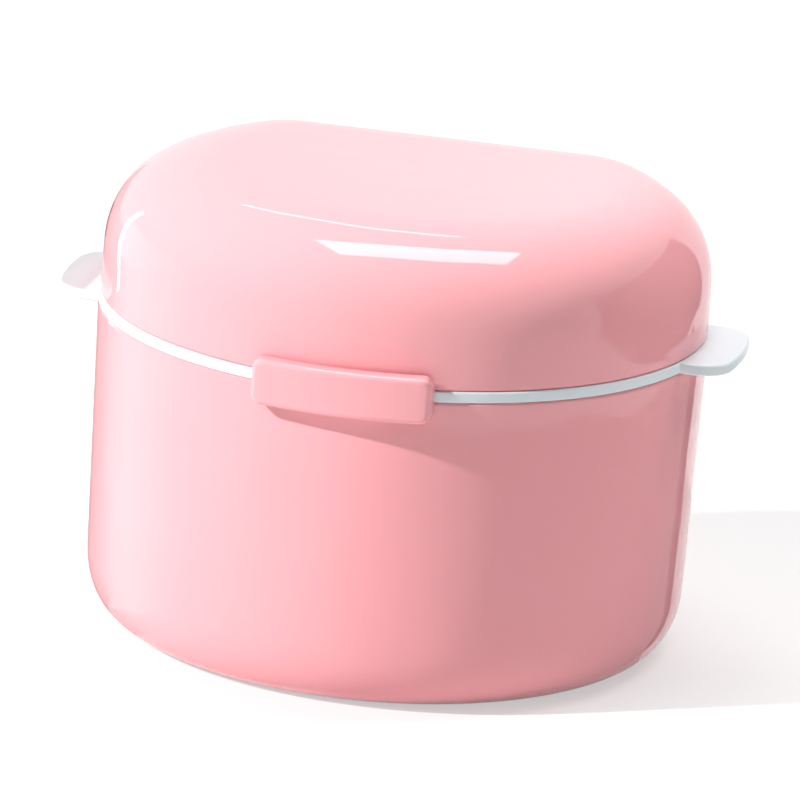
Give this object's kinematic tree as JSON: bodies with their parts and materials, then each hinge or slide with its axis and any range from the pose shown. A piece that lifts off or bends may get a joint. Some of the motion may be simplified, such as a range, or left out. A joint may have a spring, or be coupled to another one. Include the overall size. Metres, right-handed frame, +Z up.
{
  "type": "denture case",
  "caption": "D-shaped denture bath case: moulded cup, hinged domed lid, lift-out strainer basket with two ears, and a front clasp that holds the lid shut.",
  "frame": {"origin": "on the underside of the cup, below the centre of its round front", "axes": "+X to the right along the ears, front with the clasp towards -Y, flat back with the hinge towards +Y, +Z up"},
  "size_m": [0.0994, 0.086, 0.0679],
  "materials": {
    "pink_moulding": "gloss",
    "white_moulding": "satin",
    "steel": "satin"
  },
  "bodies": {
    "base": {"cup": "pink_moulding", "strainer_basket": "white_moulding", "hinge_pin": "steel", "clasp_pins": "steel"},
    "lid_body": {"lid": "pink_moulding"},
    "clasp_body": {"front_clasp": "pink_moulding"}
  },
  "joints": [
    {"name": "lid_hinge", "type": "hinge", "parent": "base", "child": "lid_body", "pos_m": [0, 0.0369, 0.0467], "axis": [-1, 0, 0], "range_deg": [0, 110]},
    {"name": "clasp_pivot", "type": "hinge", "parent": "base", "child": "clasp_body", "pos_m": [0, -0.0443, 0.0444], "axis": [1, 0, 0], "range_deg": [0, 50]}
  ]
}
